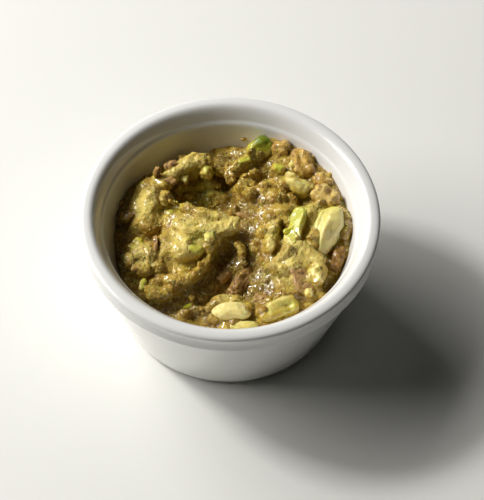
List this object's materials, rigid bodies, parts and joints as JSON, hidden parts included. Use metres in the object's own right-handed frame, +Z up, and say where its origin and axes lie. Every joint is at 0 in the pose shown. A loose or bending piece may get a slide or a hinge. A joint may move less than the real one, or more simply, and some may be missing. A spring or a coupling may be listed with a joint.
{
  "type": "guacamole in a ramekin",
  "caption": "Rough mashed avocado dip with avocado chunks and browned vegetable bits, heaped in a small round white ramekin with a plain collar.",
  "frame": {"origin": "middle of the ramekin's flat base", "axes": "+Z up through the ramekin's mouth, front of the pot towards -Y, +X to the right"},
  "size_m": [0.09, 0.09, 0.042],
  "materials": {
    "white_glaze": "gloss glaze, smooth",
    "avocado_mash": "wet, coarse mash",
    "avocado_flesh": "moist, smooth cut fruit",
    "browned_vegetable": "moist, fibrous",
    "tan_vegetable": "moist, fibrous"
  },
  "bodies": {
    "root": {"ramekin": "white_glaze", "guacamole": "avocado_mash", "avocado_half_moon": "avocado_flesh", "avocado_stick": "avocado_flesh", "avocado_green_end": "avocado_flesh", "avocado_bean": "avocado_flesh", "avocado_front_bit": "avocado_flesh", "avocado_slab": "avocado_flesh", "avocado_fold_green": "avocado_flesh", "avocado_wedge": "avocado_flesh", "brown_flake_front": "browned_vegetable", "brown_chunk_hollow": "browned_vegetable", "brown_flake_wall": "browned_vegetable", "brown_nugget_back": "browned_vegetable", "brown_nugget_wall": "browned_vegetable", "tan_nugget_wall": "tan_vegetable", "tan_nugget_right": "tan_vegetable"}
  },
  "joints": []
}
